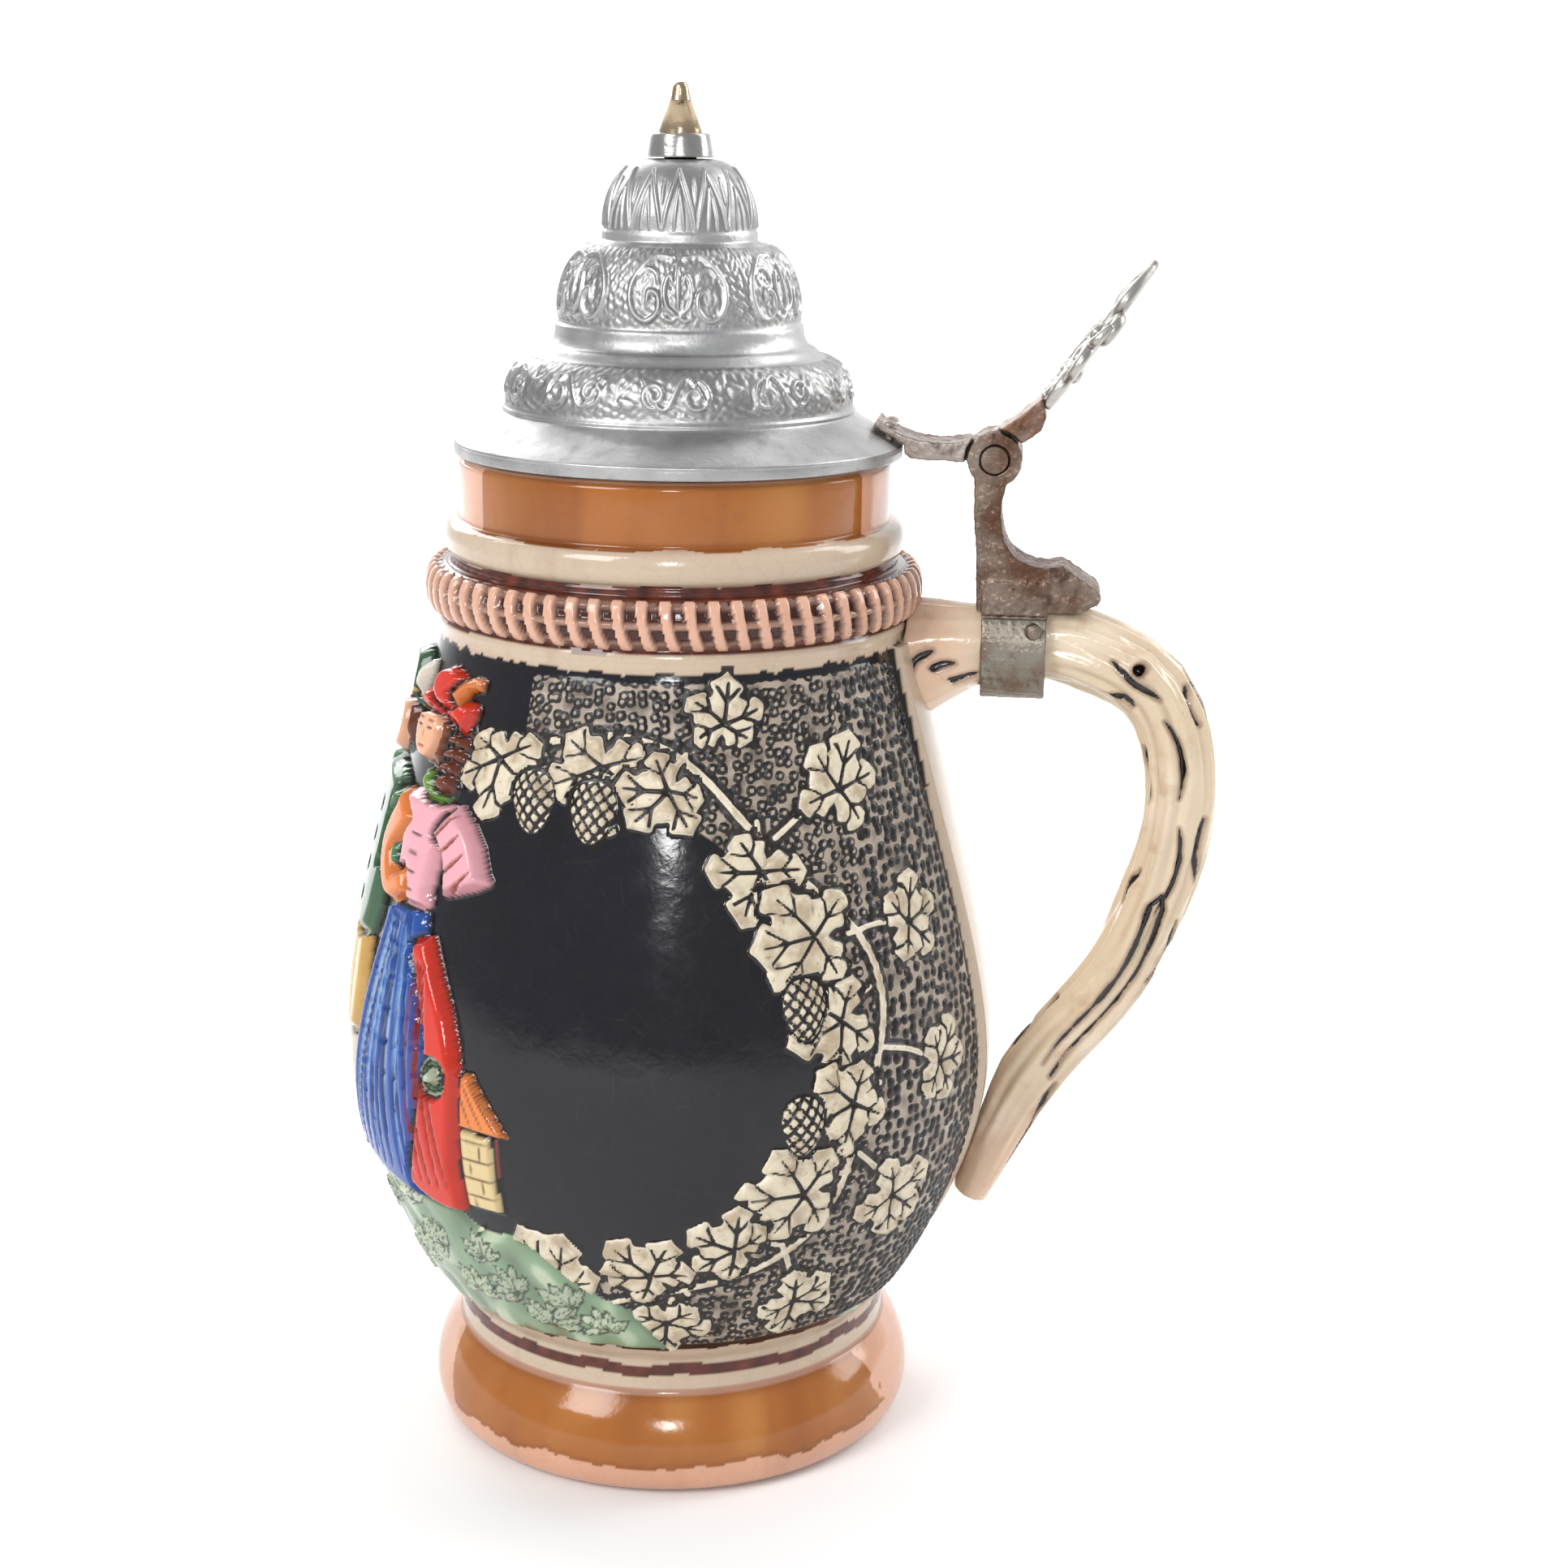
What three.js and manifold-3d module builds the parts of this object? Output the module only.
// A lidded half-litre beer stein: a pear-shaped stoneware vessel with a branch
// handle, and a domed metal lid that swings on a three-knuckle hinge strapped to
// the handle. Millimetres, +Z up. The origin is on the vessel's axis in the plane
// of the foot; the handle stands towards +X and the hinge axis runs along Y.
import * as THREE from 'three';
import { mergeVertices } from 'three/addons/utils/BufferGeometryUtils.js';
import Module from 'manifold-3d';

const wasm = await Module();
wasm.setup();

// ---------------------------------------------------------------- dimensions
const GAP = 0.3; // between pieces that touch on the real object
const TURNED_SIDES = 44; // facets round the large turned pieces
const SMALL_SIDES = 20; // facets round pins, rivets and the finial

// Vessel
const RIM_Z = 155.3; // top of the mouth
const MOUTH_R = 28.1; // inside radius at the mouth
const NECK_R = 32.8; // outside radius of the amber neck
const FOOT_R = 34.8; // outer edge of the flat foot ring
const FOOT_RING_IN = 29.0; // inner edge of the flat foot ring
const BASE_RECESS = 0.8; // the base inside the foot ring stands this far up
const FLOOR_Z = 7.0; // inside floor
const BELLY_Z = 63.0; // height of the widest part
const BELLY_R = 49.9; // outside radius there, without the relief
const BELLY_BOTTOM_Z = 21.4; // where the belly starts above the waist
const WAIST_R = 34.5; // between foot and belly
const SHOULDER_R = 36.2; // where the belly ends under the mouldings
const SHOULDER_Z = 128.0;
const SHOULDER_SLOPE = 0.25; // how much the radius shrinks for each mm up, there
const FOOT_TOP_Z = 15.6;
const FOOT_PULL = 5.2; // how far the foot's curve is drawn outwards
const WALL = 5.0; // thickness of the belly
const ROPE_Z = [132.2, 138.9]; // bottom and top of the roped moulding
const RING_Z = [140.5, 145.6]; // bottom and top of the plain moulding

// Handle, a branch of elliptical section. These are places on its middle line.
const HANDLE_TOP_Z = 127.7; // the level part under the strap
const HANDLE_OUT_X = 78.6; // farthest from the vessel
const HANDLE_OUT_Z = 102.0;
const HANDLE_FOOT_X = 48.4; // lower tip, on the belly
const HANDLE_FOOT_Z = 37.0;
const HANDLE_ROOT_HIGH = 12.5; // half height where the top root flares on the body
const HANDLE_STRAP_HIGH = 6.1; // half height under the strap
const HANDLE_HIGH = 5.1; // half height of the long lower reach
const HANDLE_TIP_HIGH = 2.9; // half height at the lower tip
const HANDLE_HALF_WIDTH = 5.6; // along Y, at the strap
const HANDLE_ROOT_WIDTH = 9.0; // along Y, where the top root flares on the body
const HANDLE_TIP_WIDTH = 3.6; // along Y, at the lower tip
const HANDLE_STEPS = 32;
const HANDLE_SIDES = 8; // facets round half of the section

// Hinge
const HINGE = new THREE.Vector3(48.5, 0, 156.0);
const BARREL_R = 4.1;
const HINGE_WIDTH = 10.0; // over the two outer knuckles
const KNUCKLE_WIDTH = 3.6; // the lid's middle knuckle
const SIDE_PLAY = 0.2; // each side of the middle knuckle
const PIN_R = 1.25;
const PIN_PLAY = 0.1; // running clearance on the radius
const PLUG_R = 2.0;
const PLUG_DEPTH = 0.7;
const ARM_WIDTH = 9.4;
const SWEEP_R = BARREL_R + 0.45; // room cut for a knuckle to turn in

// Strap and saddle on the handle
const STRAP_X = [47.4, 57.1];
const STRAP_CENTRE_Z = 127.65;
const STRAP_HALF_HEIGHT = 6.3; // the handle's section where the strap sits
const SKIRT_BOTTOM_Z = 129.4;
const SKIRT_THICK = 0.75;
const BAND_TOP_Z = 132.4;
const BAND_THICK = 0.9;
const SADDLE_TOP_Z = 137.7;
const SADDLE_TOP_HALF = 5.2;
const STRAP_RIVET_AT = [55.2, 130.8];

// Lid
const LID_OFFSET = 0.6; // the lid sits this far towards the handle
const LID_BOTTOM_Z = 155.6;
const LID_R = 33.9;
const LID_WALL = 1.5;
const FLANGE_TOP = [27.2, 161.4]; // [r, z] where the sloping flange meets the low tier
const LOW_TIER = [[26.3, 163.0], [21.6, 170.2]]; // [r, z] at its foot and its top
const HIGH_TIER = [[18.2, 175.2], [12.6, 186.6]];
const BELL_FOOT = [11.4, 188.6];
const BELL_TOP_R = 4.9;
const DOME_TOP_Z = 198.7;
const COLLAR_TOP_Z = 202.4;
const STUD_R = 1.3;
const STUD_BOTTOM_Z = 193.6;
const FINIAL_TIP_Z = 209.8;
const LIFT_ROOT = new THREE.Vector2(55.9, 164.4);
const LIFT_TIP = new THREE.Vector2(71.4, 185.5);
const LIFT_THICK = 2.3;
const LIFT_HALF_WIDTH = 10.0;
const RIVET_R = 0.75;
const RIVET_HEAD_R = 1.25;
const RIVET_X = 32.6;
const RIVET_Y = 2.5;
const RIVET_SEAT_Z = 160.2;
const RIVET_BOTTOM_Z = 156.4;
const RIVET_HEAD_HIGH = 0.7;
const WASHER_R = 3.4;
const WASHER_THICK = 0.5;
const NUT_R = 3.1; // over the corners
const NUT_HIGH = 1.9;
const NUT_SIDES = 6;
const CUT = 20; // a length that is sure to run past what it cuts

// ------------------------------------------------------------------- helpers
function asSolid(geometry) {
  const bare = geometry.clone();
  bare.deleteAttribute('normal');
  bare.deleteAttribute('uv');
  const merged = mergeVertices(bare, 1e-4);
  const corners = Uint32Array.from(merged.index.array);
  const points = Float32Array.from(merged.attributes.position.array);
  if (signedVolume(points, corners) < 0) corners.reverse();
  const mesh = new wasm.Mesh({ numProp: 3, vertProperties: points, triVerts: corners });
  return new wasm.Manifold(mesh);
}

function signedVolume(points, corners) {
  const at = (i) => new THREE.Vector3().fromArray(points, corners[i] * 3);
  let total = 0;
  for (let i = 0; i < corners.length; i += 3) {
    total += at(i).dot(at(i + 1).cross(at(i + 2))) / 6;
  }
  return total;
}

function asGeometry(solid) {
  const mesh = solid.getMesh();
  const geometry = new THREE.BufferGeometry();
  geometry.setAttribute('position', new THREE.BufferAttribute(mesh.vertProperties, 3));
  geometry.setIndex(new THREE.BufferAttribute(mesh.triVerts, 1));
  geometry.computeVertexNormals();
  return geometry;
}

// A turned piece about +Z from a profile of [r, z] points.
function turned(profile, sides = TURNED_SIDES) {
  const points = profile.map(([r, z]) => new THREE.Vector2(r, z));
  return asSolid(new THREE.LatheGeometry(points, sides).rotateX(Math.PI / 2));
}

// A curve of [r, z] points between two ends, drawn towards two pulls.
function pulled(from, firstPull, secondPull, to, count) {
  const ends = [from, firstPull, secondPull, to].map(([r, z]) => new THREE.Vector2(r, z));
  return new THREE.CubicBezierCurve(...ends).getPoints(count).map((p) => [p.x, p.y]);
}

// A quarter ellipse of [r, z] points from foot to top, rounded or hollow.
function quarter([footR, footZ], [topR, topZ], count, hollow = false) {
  const points = [];
  for (let i = 0; i <= count; i += 1) {
    const angle = (i / count) * Math.PI / 2;
    const out = hollow ? 1 - Math.sin(angle) : Math.cos(angle);
    const up = hollow ? 1 - Math.cos(angle) : Math.sin(angle);
    points.push([topR + (footR - topR) * out, footZ + (topZ - footZ) * up]);
  }
  return points;
}

// A half-round moulding between two heights, standing proud of a radius.
function moulding(radius, proud, [bottom, top], count) {
  const points = [];
  for (let i = 0; i <= count; i += 1) {
    const angle = (i / count) * Math.PI;
    points.push([radius + proud * Math.sin(angle), bottom + (top - bottom) * (1 - Math.cos(angle)) / 2]);
  }
  return points;
}

// A plate with an outline in X and Z, centred on y, of the given width.
function plate(shape, width, y = 0, curveSegments = 12) {
  const options = { depth: width, bevelEnabled: false, curveSegments };
  const geometry = new THREE.ExtrudeGeometry(shape, options);
  return asSolid(geometry.rotateX(Math.PI / 2).translate(0, y + width / 2, 0));
}

// A bar with an outline in Y and Z, from x = from to x = to.
function bar(shape, from, to, curveSegments = 12) {
  const options = { depth: to - from, bevelEnabled: false, curveSegments };
  const geometry = new THREE.ExtrudeGeometry(shape, options);
  const turn = new THREE.Matrix4().makeBasis(
    new THREE.Vector3(0, 1, 0),
    new THREE.Vector3(0, 0, 1),
    new THREE.Vector3(1, 0, 0),
  );
  return asSolid(geometry.applyMatrix4(turn).translate(from, 0, 0));
}

// A rod along Y through a point of the XZ plane.
function crossRod(radius, width, x, z, y = 0, sides = SMALL_SIDES) {
  const geometry = new THREE.CylinderGeometry(radius, radius, width, sides);
  return asSolid(geometry.translate(x, y, z));
}

function outline(points) {
  return new THREE.Shape(points.map(([x, z]) => new THREE.Vector2(x, z)));
}

function material(color, roughness, metalness) {
  return new THREE.MeshStandardMaterial({ color, roughness, metalness });
}

const stein = new THREE.Group();

function add(parent, name, solid, look) {
  const mesh = new THREE.Mesh(asGeometry(solid), look);
  mesh.name = name;
  parent.add(mesh);
}

// -------------------------------------------------------------------- vessel
// The belly's side, moved inwards by the inset: full below, then nearly straight.
function bellySide(inset, count) {
  const rise = BELLY_Z - BELLY_BOTTOM_Z;
  const run = SHOULDER_Z - BELLY_Z;
  const waist = [WAIST_R - inset, BELLY_BOTTOM_Z];
  const widest = [BELLY_R - inset, BELLY_Z];
  const shoulder = [SHOULDER_R - inset, SHOULDER_Z];
  const leaveWaist = [waist[0] + 0.12 * rise, BELLY_BOTTOM_Z + 0.12 * rise];
  const reachShoulder = [shoulder[0] + SHOULDER_SLOPE * 0.45 * run, SHOULDER_Z - 0.45 * run];
  const lower = pulled(waist, leaveWaist, [widest[0], BELLY_Z - 0.4 * rise], widest, count);
  const upper = pulled(widest, [widest[0], BELLY_Z + 0.25 * run], reachShoulder, shoulder, count);
  return [...lower, ...upper.slice(1)];
}

function vesselOutside() {
  const foot = pulled(
    [FOOT_R, 0],
    [FOOT_R + FOOT_PULL, 0.6],
    [FOOT_R + FOOT_PULL, FOOT_TOP_Z * 0.6],
    [FOOT_R, FOOT_TOP_Z],
    6,
  );
  const waist = [[WAIST_R, FOOT_TOP_Z + 0.8], [WAIST_R, BELLY_BOTTOM_Z - 0.8]];
  const plainBand = [[SHOULDER_R, SHOULDER_Z + 2.6], [SHOULDER_R - 0.5, ROPE_Z[0] - 0.3]];
  const rope = moulding(SHOULDER_R - 0.4, 1.6, ROPE_Z, 4);
  const groove = [[WAIST_R - 0.3, ROPE_Z[1] + 0.3], [WAIST_R - 0.3, RING_Z[0] - 0.3]];
  const ring = moulding(NECK_R + 1.1, 1.2, RING_Z, 4);
  const rim = quarter([NECK_R, RIM_Z - 1.6], [NECK_R - 2.2, RIM_Z], 3);
  const neckFoot = [NECK_R, RING_Z[1] + 0.3];
  return [...foot, ...waist, ...bellySide(0, 7), ...plainBand, ...rope, ...groove, ...ring, neckFoot, ...rim];
}

function vesselInside() {
  const lip = [[MOUTH_R + 1.3, RIM_Z - 0.3], [MOUTH_R, RIM_Z - 1.8]];
  const neck = [[MOUTH_R, RING_Z[1] + 2.4], [MOUTH_R + 1, ROPE_Z[1]]];
  const belly = bellySide(WALL, 5).reverse();
  const heelR = WAIST_R - WALL;
  const deep = BELLY_BOTTOM_Z - FLOOR_Z;
  const heel = quarter([heelR, BELLY_BOTTOM_Z - deep / 2], [heelR - deep / 2, FLOOR_Z], 3);
  return [...lip, ...neck, ...belly, ...heel, [0, FLOOR_Z]];
}

function vesselProfile() {
  const base = [[0, BASE_RECESS], [FOOT_RING_IN - 0.6, BASE_RECESS], [FOOT_RING_IN, 0]];
  return [...base, ...vesselOutside(), ...vesselInside()];
}

// The vessel's outer form, filled and grown by a clearance, for cutting neighbours.
function vesselClearance(clearance) {
  const side = vesselOutside().map(([r, z]) => [r + clearance, z]);
  return turned([[0, -1], [FOOT_R + clearance, -1], ...side, [0, RIM_Z + clearance]]);
}

// -------------------------------------------------------------------- handle
// From the root inside the wall, out level, round the knee and back down to the belly.
const handlePath = new THREE.CatmullRomCurve3([
  [MOUTH_R, HANDLE_TOP_Z - 5.2],
  [SHOULDER_R + 9, HANDLE_TOP_Z - 0.7],
  [HANDLE_OUT_X - 18, HANDLE_TOP_Z],
  [HANDLE_OUT_X - 4.2, HANDLE_TOP_Z - 7],
  [HANDLE_OUT_X, HANDLE_OUT_Z],
  [HANDLE_OUT_X - 6.4, HANDLE_OUT_Z - 23],
  [HANDLE_FOOT_X + 8.8, HANDLE_FOOT_Z + 20],
  [HANDLE_FOOT_X, HANDLE_FOOT_Z],
].map(([x, z]) => new THREE.Vector3(x, 0, z)));

// Half height of the section at a fraction t of the path.
function handleHeight(t) {
  const rootEnd = 0.14;
  const kneeEnd = 0.42;
  const tailStart = 0.84;
  if (t < rootEnd) return THREE.MathUtils.lerp(HANDLE_ROOT_HIGH, HANDLE_STRAP_HIGH, t / rootEnd);
  if (t < kneeEnd) {
    return THREE.MathUtils.lerp(HANDLE_STRAP_HIGH, HANDLE_HIGH, (t - rootEnd) / (kneeEnd - rootEnd));
  }
  if (t < tailStart) return HANDLE_HIGH;
  return THREE.MathUtils.lerp(HANDLE_HIGH, HANDLE_TIP_HIGH, (t - tailStart) / (1 - tailStart));
}

// Half width along Y at a fraction t of the path.
function handleWidth(t) {
  const rootEnd = 0.2;
  const tailStart = 0.72;
  if (t < rootEnd) return THREE.MathUtils.lerp(HANDLE_ROOT_WIDTH, HANDLE_HALF_WIDTH, t / rootEnd);
  if (t < tailStart) return HANDLE_HALF_WIDTH;
  const tail = (t - tailStart) / (1 - tailStart);
  return THREE.MathUtils.lerp(HANDLE_HALF_WIDTH, HANDLE_TIP_WIDTH, tail);
}

// A round tube along the path, drawn out to the section it has there.
function branch(clearance) {
  const circle = new THREE.Shape().absarc(0, 0, 1, 0, Math.PI * 2);
  const geometry = new THREE.ExtrudeGeometry(circle, {
    steps: HANDLE_STEPS,
    curveSegments: HANDLE_SIDES,
    bevelEnabled: false,
    extrudePath: handlePath,
  });
  const middles = handlePath.getSpacedPoints(HANDLE_STEPS);
  const position = geometry.attributes.position;
  const point = new THREE.Vector3();
  for (let i = 0; i < position.count; i += 1) {
    point.fromBufferAttribute(position, i);
    const flat = new THREE.Vector3(point.x, 0, point.z);
    let nearest = 0;
    middles.forEach((middle, n) => {
      const spread = point.clone().sub(middle).length();
      if (spread < point.clone().sub(middles[nearest]).length()) nearest = n;
    });
    const t = nearest / HANDLE_STEPS;
    const height = handleHeight(t) + clearance;
    const width = handleWidth(t) + clearance;
    flat.sub(middles[nearest]).multiplyScalar(height).add(middles[nearest]);
    position.setXYZ(i, flat.x, point.y * width, flat.z);
  }
  return asSolid(geometry);
}

// --------------------------------------------------- hinge tower and strap
// The handle's section under the strap, as a shape in Y and Z.
function strapSection(grow) {
  const shape = new THREE.Shape();
  const high = STRAP_HALF_HEIGHT + grow;
  return shape.absellipse(0, STRAP_CENTRE_Z, HANDLE_HALF_WIDTH + grow, high, 0, Math.PI * 2);
}

// A block wider than the strap, centred at height z, for trimming it.
function cutter(z) {
  const middle = (STRAP_X[0] + STRAP_X[1]) / 2;
  return asSolid(new THREE.BoxGeometry(CUT, 2 * CUT, CUT).translate(middle, 0, z));
}

function strapRivetRoom() {
  const [x, z] = STRAP_RIVET_AT;
  return crossRod(RIVET_R + GAP, 2 * CUT, x, z);
}

function towerOutline() {
  const shape = new THREE.Shape();
  shape.moveTo(STRAP_X[0] - 0.9, 133.2);
  shape.lineTo(46.2, 143.0);
  shape.quadraticCurveTo(45.6, 148.0, 45.6, 153.2);
  shape.lineTo(50.4, 152.4);
  shape.quadraticCurveTo(49.0, 148.0, 50.6, 143.6);
  shape.quadraticCurveTo(52.0, 140.4, 56.8, 139.9);
  shape.lineTo(59.3, 140.3);
  shape.lineTo(64.2, 137.2);
  shape.quadraticCurveTo(65.6, 136.0, 64.6, 134.6);
  shape.lineTo(62.0, 133.2);
  return shape;
}

function hingeTower(branchRoom) {
  const saddleBottom = BAND_TOP_Z + GAP;
  const saddle = outline([
    [-SADDLE_TOP_HALF, saddleBottom],
    [SADDLE_TOP_HALF, saddleBottom],
    [SADDLE_TOP_HALF, SADDLE_TOP_Z],
    [-SADDLE_TOP_HALF, SADDLE_TOP_Z],
  ]);
  const below = cutter(SKIRT_BOTTOM_Z - CUT / 2);
  const skirts = bar(strapSection(GAP + SKIRT_THICK), ...STRAP_X, 20).subtract(below);
  const ears = crossRod(BARREL_R, HINGE_WIDTH, HINGE.x, HINGE.z);
  const slotWidth = KNUCKLE_WIDTH + 2 * SIDE_PLAY;
  const slot = crossRod(SWEEP_R, slotWidth, HINGE.x, HINGE.z);
  const bore = crossRod(PIN_R + PIN_PLAY, HINGE_WIDTH + 1, HINGE.x, HINGE.z);
  let tower = plate(towerOutline(), HINGE_WIDTH).add(bar(saddle, ...STRAP_X)).add(skirts);
  tower = tower.add(ears).subtract(slot).subtract(bore).subtract(strapRivetRoom());
  for (const side of [-1, 1]) {
    const y = side * (HINGE_WIDTH - PLUG_DEPTH) / 2;
    tower = tower.subtract(crossRod(PLUG_R + GAP, PLUG_DEPTH + 0.01, HINGE.x, HINGE.z, y));
  }
  return tower.subtract(branchRoom);
}

// The band under the handle, its ends lapped over the saddle's skirts.
function handleStrap(branchRoom) {
  const inner = GAP + SKIRT_THICK + GAP;
  const ring = strapSection(inner + BAND_THICK);
  ring.holes.push(strapSection(inner));
  const above = cutter(BAND_TOP_Z + CUT / 2);
  const band = bar(ring, ...STRAP_X, 20).subtract(above);
  return band.subtract(strapRivetRoom()).subtract(branchRoom);
}

// How much of its full width the strap's section still has at height z.
function sectionShare(z, grow) {
  return Math.sqrt(1 - ((z - STRAP_CENTRE_Z) / (STRAP_HALF_HEIGHT + grow)) ** 2);
}

// A rivet through the lap of strap and skirt, its head outside.
function strapRivet(side) {
  const [x, z] = STRAP_RIVET_AT;
  const lap = 2 * GAP + SKIRT_THICK + BAND_THICK;
  const inside = HANDLE_HALF_WIDTH * sectionShare(z, 0) + 2 * GAP;
  const outside = (HANDLE_HALF_WIDTH + lap) * sectionShare(z - RIVET_HEAD_R, lap) + GAP;
  const shank = crossRod(RIVET_R, outside - inside, x, z, side * (inside + outside) / 2);
  const cap = new THREE.LatheGeometry(domeProfile(RIVET_HEAD_R, RIVET_HEAD_HIGH), SMALL_SIDES);
  if (side < 0) cap.rotateX(Math.PI);
  return shank.add(asSolid(cap.translate(x, side * outside, z)));
}

// A low dome on a flat back, as profile points about +Y.
function domeProfile(radius, height) {
  const points = [new THREE.Vector2(0, -0.1), new THREE.Vector2(radius, -0.1)];
  const steps = 4;
  for (let i = 0; i < steps; i += 1) {
    const angle = (i / steps) * Math.PI / 2;
    points.push(new THREE.Vector2(radius * Math.cos(angle), height * Math.sin(angle)));
  }
  points.push(new THREE.Vector2(0, height));
  return points;
}

// ----------------------------------------------------------------------- lid
function domeOutside() {
  const edge = [[LID_R, LID_BOTTOM_Z], [LID_R, LID_BOTTOM_Z + 1.6], [LID_R - 0.5, LID_BOTTOM_Z + 2.2]];
  const [[lowR, lowZ], [lowTopR, lowTopZ]] = LOW_TIER;
  const [[highR, highZ], [highTopR, highTopZ]] = HIGH_TIER;
  const flange = [FLANGE_TOP, [lowR + 0.4, lowZ - 0.7]];
  const hollow = quarter([lowTopR - 1.2, lowTopZ + 1.2], [highR + 0.4, highZ - 0.6], 3, true);
  const band = [[highTopR - 0.9, highTopZ + 0.4], [highTopR - 1, BELL_FOOT[1] - 0.4]];
  const lowTier = quarter([lowR, lowZ], [lowTopR, lowTopZ], 5);
  const highTier = quarter([highR, highZ], [highTopR, highTopZ], 6);
  const bell = quarter(BELL_FOOT, [BELL_TOP_R, DOME_TOP_Z], 6);
  return [...edge, ...flange, ...lowTier, ...hollow, ...highTier, ...band, ...bell];
}

// The same tiers from the crown down, thinner by the wall.
function domeInside() {
  const inwards = ([r, z]) => [r - LID_WALL, z];
  const thinner = ([r, z]) => [r - LID_WALL, z - LID_WALL];
  const [lowFoot, lowTop] = LOW_TIER;
  const [highFoot, highTop] = HIGH_TIER;
  const bell = quarter(inwards(BELL_FOOT), [BELL_TOP_R, DOME_TOP_Z - LID_WALL], 4);
  const highTier = quarter(inwards(highFoot), thinner(highTop), 4);
  const lowTier = quarter(inwards(lowFoot), thinner(lowTop), 4);
  const lip = [[LID_R - 6.3, LID_BOTTOM_Z], [LID_R - 6.9, LID_BOTTOM_Z + 3.6]];
  return [...lip, ...lowTier, ...highTier, ...bell].reverse();
}

function rivetHole(y) {
  const hole = new THREE.CylinderGeometry(RIVET_R + GAP, RIVET_R + GAP, CUT, SMALL_SIDES);
  return asSolid(hole.rotateX(Math.PI / 2).translate(RIVET_X, y, RIVET_SEAT_Z));
}

// A spot face on the sloping tongue for the rivet's head.
function rivetSeat(y) {
  const radius = RIVET_HEAD_R + GAP;
  const deep = 4;
  const seat = new THREE.CylinderGeometry(radius, radius, deep, SMALL_SIDES).rotateX(Math.PI / 2);
  return asSolid(seat.translate(RIVET_X, y, RIVET_SEAT_Z + deep / 2));
}

function lidDome() {
  const hole = STUD_R + GAP;
  const profile = [[hole, DOME_TOP_Z - LID_WALL], ...domeInside(), ...domeOutside(), [hole, DOME_TOP_Z]];
  profile.push(profile[0]);
  let dome = turned(profile).translate(LID_OFFSET, 0, 0);
  for (const side of [-1, 1]) dome = dome.subtract(rivetHole(side * RIVET_Y));
  return dome;
}

// The underside of the arm's tongue lies on the flange; past the rim it drops to
// the middle of the hinge, and beyond the hinge it rises to the thumb lift.
function armOutline() {
  const shape = new THREE.Shape();
  const rimX = LID_R + LID_OFFSET + GAP + 0.1;
  shape.moveTo(30.3, 160.5);
  shape.lineTo(rimX, 158.0);
  shape.lineTo(rimX + 0.2, 156.5);
  shape.lineTo(36.2, 155.8);
  shape.lineTo(44.6, 155.5);
  shape.lineTo(HINGE.x, 156.0);
  shape.lineTo(52.4, 158.5);
  shape.lineTo(55.2, 160.4);
  shape.lineTo(55.9, 162.3);
  shape.lineTo(55.3, 165.4);
  shape.quadraticCurveTo(48.6, 158.3, 40.2, 158.3);
  shape.quadraticCurveTo(35.0, 158.4, 31.0, 161.6);
  return shape;
}

function lidArm() {
  const knuckle = crossRod(BARREL_R, KNUCKLE_WIDTH, HINGE.x, HINGE.z);
  const earWidth = (HINGE_WIDTH - KNUCKLE_WIDTH) / 2 + 1;
  let arm = plate(armOutline(), ARM_WIDTH);
  for (const side of [-1, 1]) {
    const y = side * (KNUCKLE_WIDTH + earWidth) / 2;
    arm = arm.subtract(crossRod(SWEEP_R, earWidth, HINGE.x, HINGE.z, y));
    arm = arm.subtract(rivetHole(side * RIVET_Y)).subtract(rivetSeat(side * RIVET_Y));
  }
  return arm.add(knuckle).subtract(crossRod(PIN_R + PIN_PLAY, HINGE_WIDTH, HINGE.x, HINGE.z));
}

// A rivet through the tongue and the flange, its head in the spot face.
function armRivet(y) {
  const top = RIVET_SEAT_Z + GAP;
  const long = top - RIVET_BOTTOM_Z;
  const shank = new THREE.CylinderGeometry(RIVET_R, RIVET_R, long, SMALL_SIDES);
  const head = new THREE.LatheGeometry(domeProfile(RIVET_HEAD_R, RIVET_HEAD_HIGH), SMALL_SIDES);
  shank.rotateX(Math.PI / 2).translate(RIVET_X, y, top - long / 2);
  head.rotateX(Math.PI / 2).translate(RIVET_X, y, top + 0.1);
  return asSolid(shank).add(asSolid(head));
}

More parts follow.
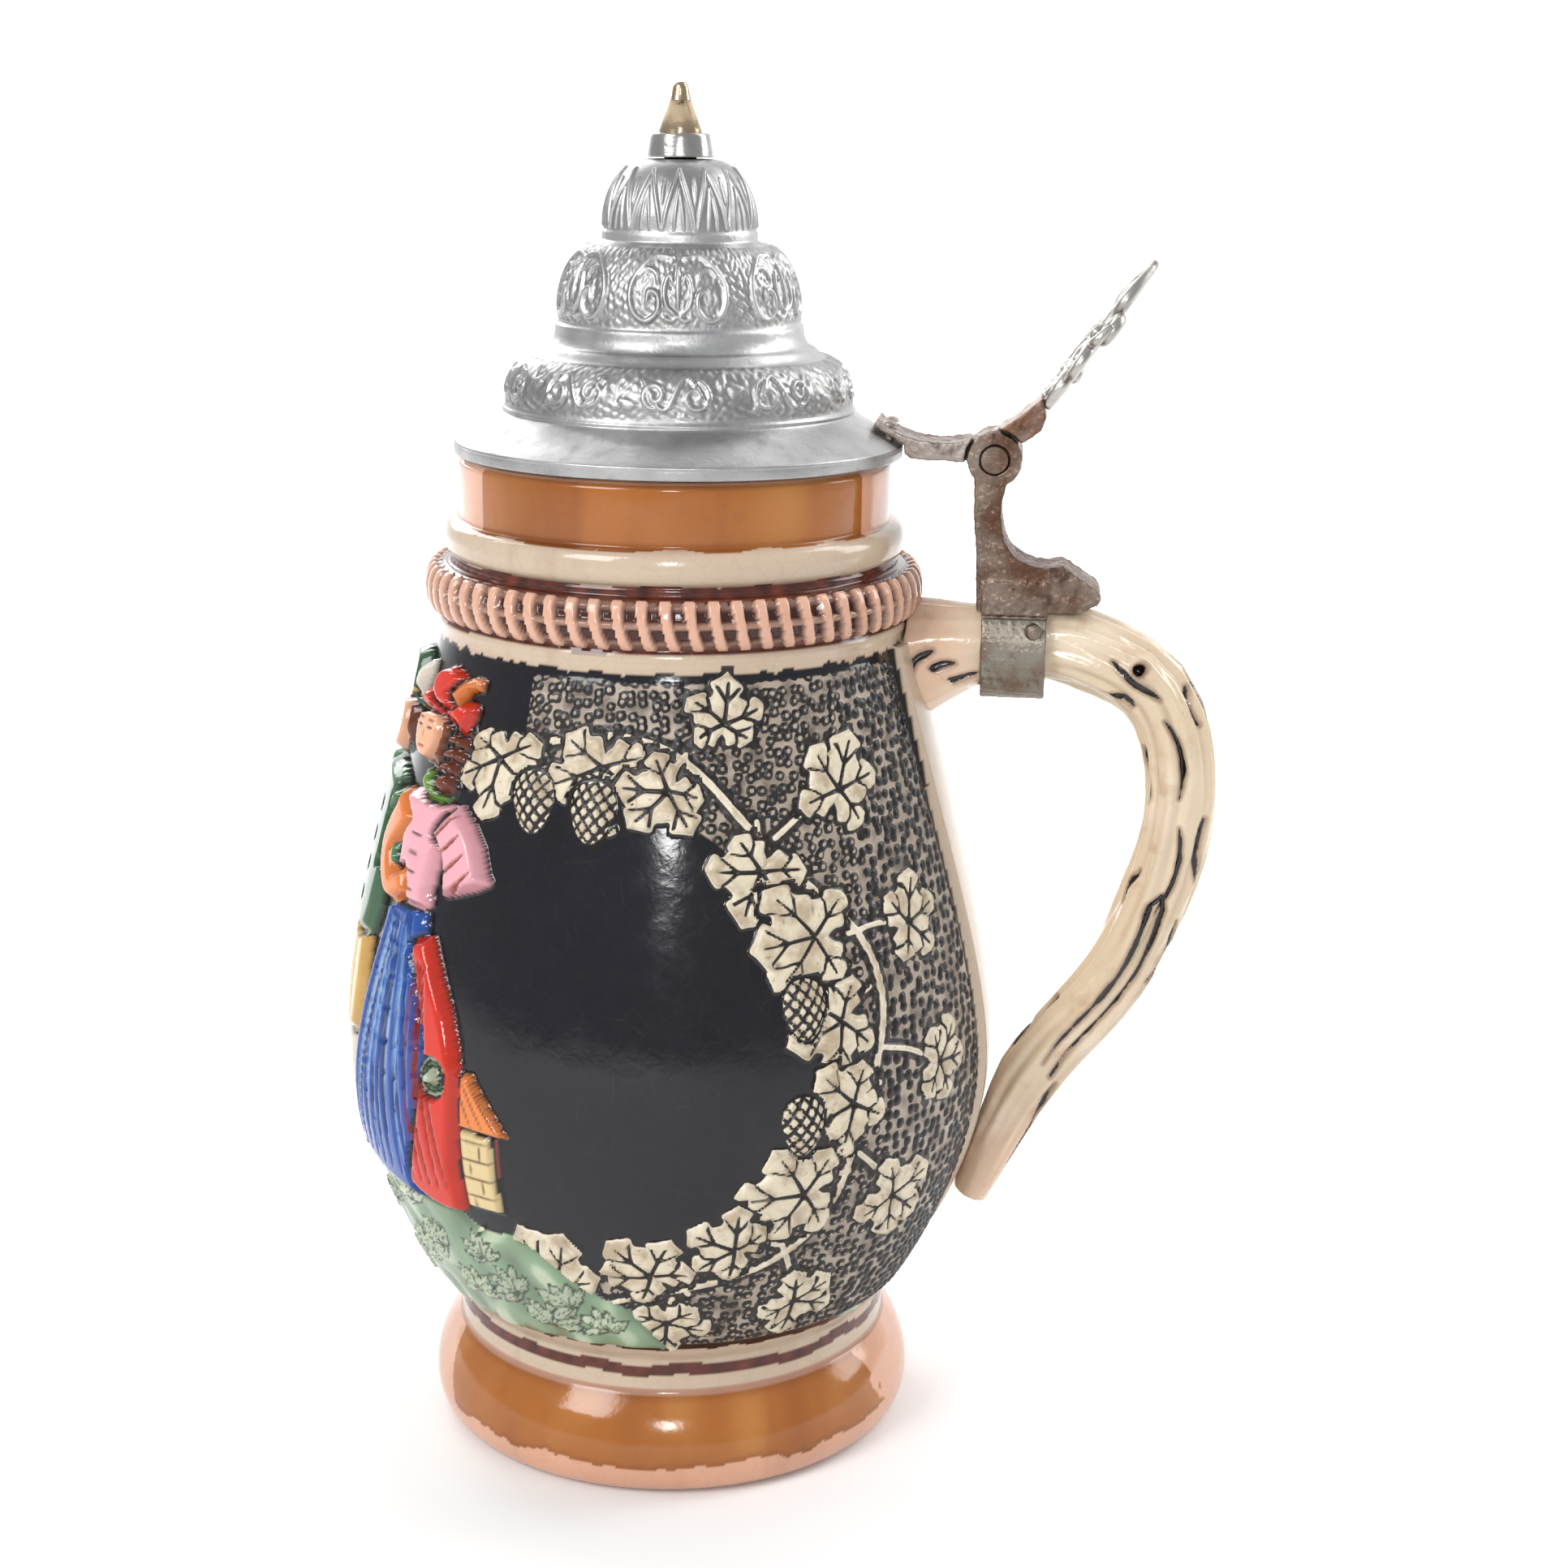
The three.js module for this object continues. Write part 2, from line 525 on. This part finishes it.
// An openwork plate: a rounded stem that spreads into a pointed leaf.
function thumbLift() {
  const run = new THREE.Vector2().subVectors(LIFT_TIP, LIFT_ROOT);
  const length = run.length();
  const shape = new THREE.Shape();
  shape.moveTo(-4.2, 0);
  shape.quadraticCurveTo(-4.4, length * 0.16, -7.0, length * 0.26);
  shape.quadraticCurveTo(-LIFT_HALF_WIDTH - 1.4, length * 0.5, -7.4, length * 0.72);
  shape.quadraticCurveTo(-5.6, length * 0.92, 0, length);
  shape.quadraticCurveTo(5.6, length * 0.92, 7.4, length * 0.72);
  shape.quadraticCurveTo(LIFT_HALF_WIDTH + 1.4, length * 0.5, 7.0, length * 0.26);
  shape.quadraticCurveTo(4.4, length * 0.16, 4.2, 0);
  for (const side of [-1, 1]) {
    for (const [across, along, radius] of [[4.4, 0.42, 1.9], [3.2, 0.66, 1.5]]) {
      shape.holes.push(new THREE.Path().absarc(side * across, length * along, radius, 0, Math.PI * 2));
    }
  }
  const options = { depth: LIFT_THICK, bevelEnabled: false, curveSegments: 8 };
  const geometry = new THREE.ExtrudeGeometry(shape, options).translate(0, 0, -LIFT_THICK / 2);
  const up = new THREE.Vector3(run.x, 0, run.y).normalize();
  const across = new THREE.Vector3(0, 1, 0);
  const turn = new THREE.Matrix4().makeBasis(across, up, new THREE.Vector3().crossVectors(across, up));
  geometry.applyMatrix4(turn).translate(LIFT_ROOT.x, 0, LIFT_ROOT.y);
  const armRoom = plate(outline([[40, 150], [56.2, 150], [56.2, 162.6], [55.6, 165.9], [40, 159]]), 30);
  return asSolid(geometry).subtract(armRoom);
}

// The finial's cone with the stud that holds it, in one piece.
function finial() {
  const foot = COLLAR_TOP_Z + GAP;
  const tip = FINIAL_TIP_Z;
  const cone = pulled([3.1, foot + 0.3], [2.3, foot + 2], [1.6, tip - 3.4], [1.1, tip - 0.6], 6);
  const profile = [[0, STUD_BOTTOM_Z], [STUD_R, STUD_BOTTOM_Z], [STUD_R, foot], [3.2, foot]];
  return turned([...profile, ...cone, [0.6, tip - 0.1], [0, tip]], SMALL_SIDES);
}

// A turned ring from a profile of its section, closed on itself.
function ring(profile, sides = SMALL_SIDES) {
  return turned([...profile, profile[0]], sides);
}

function finialCollar() {
  const hole = STUD_R + GAP;
  const bottom = DOME_TOP_Z + GAP;
  const side = [[4.9, bottom], [4.4, COLLAR_TOP_Z - 0.3], [4.1, COLLAR_TOP_Z]];
  return ring([[hole, bottom], ...side, [hole, COLLAR_TOP_Z]]);
}

function finialWasher() {
  const hole = STUD_R + GAP;
  const top = DOME_TOP_Z - LID_WALL - GAP;
  const bottom = top - WASHER_THICK;
  return ring([[hole, bottom], [WASHER_R, bottom], [WASHER_R, top], [hole, top]]);
}

function finialNut() {
  const hole = STUD_R + PIN_PLAY;
  const top = DOME_TOP_Z - LID_WALL - 2 * GAP - WASHER_THICK;
  const z = top - NUT_HIGH / 2;
  const nut = new THREE.CylinderGeometry(NUT_R, NUT_R, NUT_HIGH, NUT_SIDES).rotateX(Math.PI / 2);
  const bore = new THREE.CylinderGeometry(hole, hole, 2 * NUT_HIGH, SMALL_SIDES).rotateX(Math.PI / 2);
  return asSolid(nut.translate(0, 0, z)).subtract(asSolid(bore.translate(0, 0, z)));
}

// ------------------------------------------------------------------ assembly
const glaze = () => material(0xbca891, 0.25, 0);
const castMetal = () => material(0xa9a9a7, 0.35, 0.9);
const tinned = () => material(0x7a6a60, 0.45, 0.85);

const branchRoom = branch(GAP);
const handle = branch(0).subtract(vesselClearance(GAP));
const parts = handle.decompose().sort((a, b) => b.volume() - a.volume());

add(stein, 'vessel_body', turned(vesselProfile()), material(0x14141a, 0.2, 0));
add(stein, 'handle', parts[0], glaze());
add(stein, 'hinge_tower', hingeTower(branchRoom), tinned());
add(stein, 'handle_strap', handleStrap(branchRoom), tinned());
add(stein, 'hinge_pin', crossRod(PIN_R, HINGE_WIDTH - 2 * (PLUG_DEPTH + GAP), HINGE.x, HINGE.z), castMetal());

for (const [word, side] of [['near', -1], ['far', 1]]) {
  const plugY = side * (HINGE_WIDTH - PLUG_DEPTH) / 2;
  add(stein, `pin_plug_${word}`, crossRod(PLUG_R, PLUG_DEPTH, HINGE.x, HINGE.z, plugY), tinned());
  add(stein, `strap_rivet_${word}`, strapRivet(side), tinned());
}

const lid = new THREE.Group();
stein.add(lid);
add(lid, 'lid_dome', lidDome(), castMetal());
add(lid, 'lid_arm', lidArm(), tinned());
add(lid, 'thumb_lift', thumbLift(), castMetal());
add(lid, 'arm_rivet_near', armRivet(-RIVET_Y), castMetal());
add(lid, 'arm_rivet_far', armRivet(RIVET_Y), castMetal());

const crown = new THREE.Group();
crown.position.x = LID_OFFSET;
lid.add(crown);
add(crown, 'finial', finial(), material(0xa8977f, 0.3, 0.9));
add(crown, 'finial_collar', finialCollar(), castMetal());
add(crown, 'finial_washer', finialWasher(), castMetal());
add(crown, 'finial_nut', finialNut(), castMetal());

export default stein;
